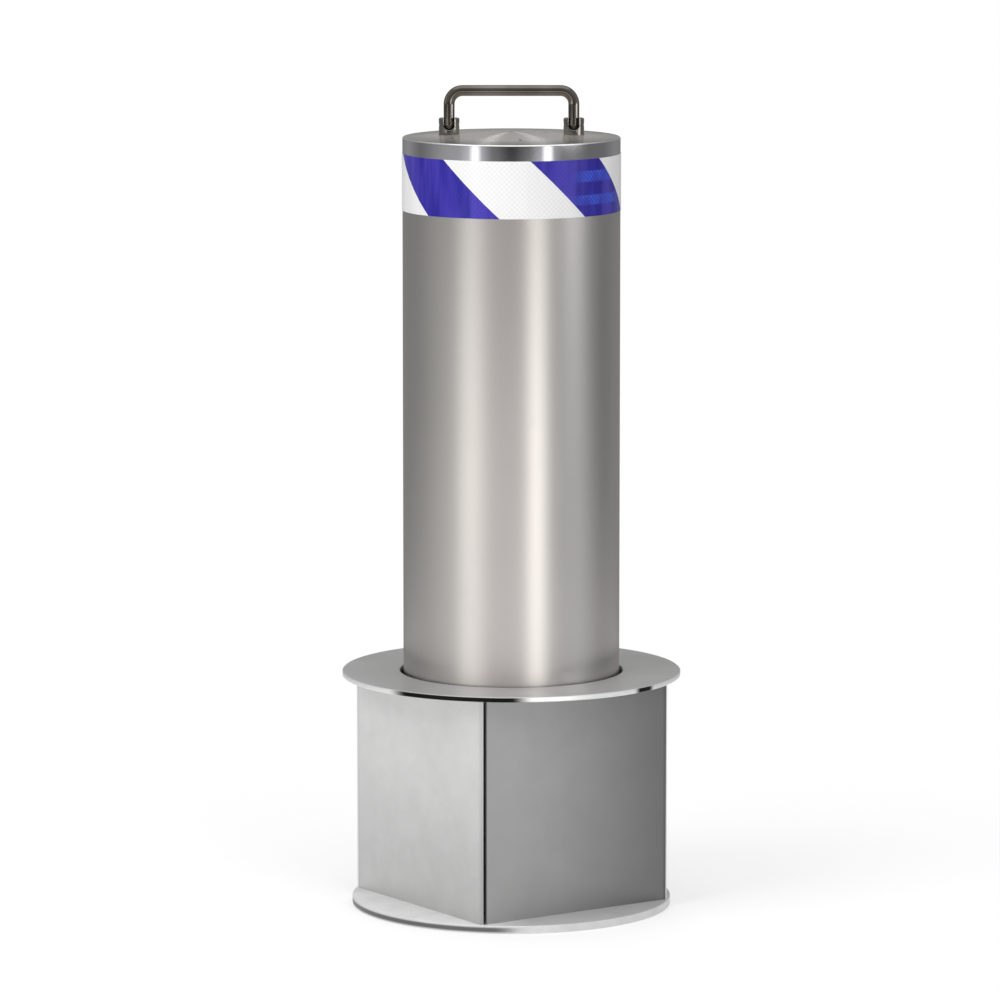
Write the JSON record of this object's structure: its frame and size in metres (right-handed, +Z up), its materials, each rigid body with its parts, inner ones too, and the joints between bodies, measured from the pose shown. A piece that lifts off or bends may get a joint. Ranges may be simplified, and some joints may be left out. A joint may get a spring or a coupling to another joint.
{
  "type": "removable bollard",
  "caption": "Round stainless post with a reflective band and a folding lift handle, locked by sliding bolts in a square ground socket with a round flange.",
  "frame": {"origin": "centre of the ground socket's underside, on the post's axis", "axes": "+Z up along the post, +X along the handle's hinge line, -Y towards the viewer of the picture"},
  "size_m": [0.343, 0.343, 0.8328],
  "materials": {
    "post_steel": "fine upright brushing on stainless steel",
    "cap_steel": "circular turning marks on stainless steel",
    "handle_steel": "dark polished steel",
    "flange_steel": "smooth stainless plate with a bright edge",
    "box_steel": "dull mottled zinc-coated sheet",
    "disc_steel": "dull plate with a cut edge",
    "fastener_steel": "plain bright steel",
    "inner_steel": "machined steel",
    "bush_brass": "machined brass",
    "seal_rubber": "matt rubber",
    "tape_white": "retroreflective film with a fine grid",
    "tape_blue": "retroreflective film with a fine grid"
  },
  "bodies": {
    "ground_socket": {"base_disc": "disc_steel", "panel_front_left": "box_steel", "panel_front_right": "box_steel", "panel_back_left": "box_steel", "panel_back_right": "box_steel", "socket_flange": "flange_steel"},
    "post": {"post_tube": "post_steel", "cap_plate": "cap_steel", "lug_left": "handle_steel", "lug_right": "handle_steel", "pin_left": "fastener_steel", "pin_right": "fastener_steel", "lug_washers": "fastener_steel", "lug_nuts": "fastener_steel", "tape_white": "tape_white", "tape_blue": "tape_blue", "spindle_bush_top": "bush_brass", "spindle_seal": "seal_rubber", "foot_plate": "inner_steel", "foot_tabs": "inner_steel", "foot_screws": "fastener_steel", "deck_plate": "inner_steel", "deck_tabs": "inner_steel", "deck_screws": "fastener_steel", "deck_bush": "bush_brass", "bolt_guide_left": "inner_steel", "bolt_guide_right": "inner_steel", "guide_screws": "fastener_steel"},
    "lift_handle": {"handle": "handle_steel"},
    "lock": {"lock_spindle": "cap_steel", "cam_plate": "inner_steel", "cam_grub_screw": "fastener_steel", "retaining_ring": "fastener_steel"},
    "left_bolt": {"bolt_left": "inner_steel", "cam_pin_left": "inner_steel"},
    "right_bolt": {"bolt_right": "inner_steel", "cam_pin_right": "inner_steel"}
  },
  "joints": [
    {"name": "post_lift", "type": "slide", "parent": "ground_socket", "child": "post", "axis": [0, 0, 1], "range_m": [0, 0.25]},
    {"name": "handle_swing", "type": "hinge", "parent": "post", "child": "lift_handle", "pos_m": [0, 0, 0.79293], "axis": [1, 0, 0], "range_deg": [-90, 90]},
    {"name": "lock_turn", "type": "hinge", "parent": "post", "child": "lock", "pos_m": [0, 0, 0.5], "axis": [0, 0, 1], "range_deg": [0, 90]},
    {"name": "bolt_left_slide", "type": "slide", "parent": "post", "child": "left_bolt", "axis": [-0.9823, 0.1874, 0], "range_m": [0, 0.0251]},
    {"name": "bolt_right_slide", "type": "slide", "parent": "post", "child": "right_bolt", "axis": [0.9823, -0.1874, 0], "range_m": [0, 0.0251]}
  ],
  "couplings": [
    {"joint": "bolt_left_slide", "follows": "lock_turn", "m_per_rad": 0.015915},
    {"joint": "bolt_right_slide", "follows": "lock_turn", "m_per_rad": 0.015915}
  ]
}
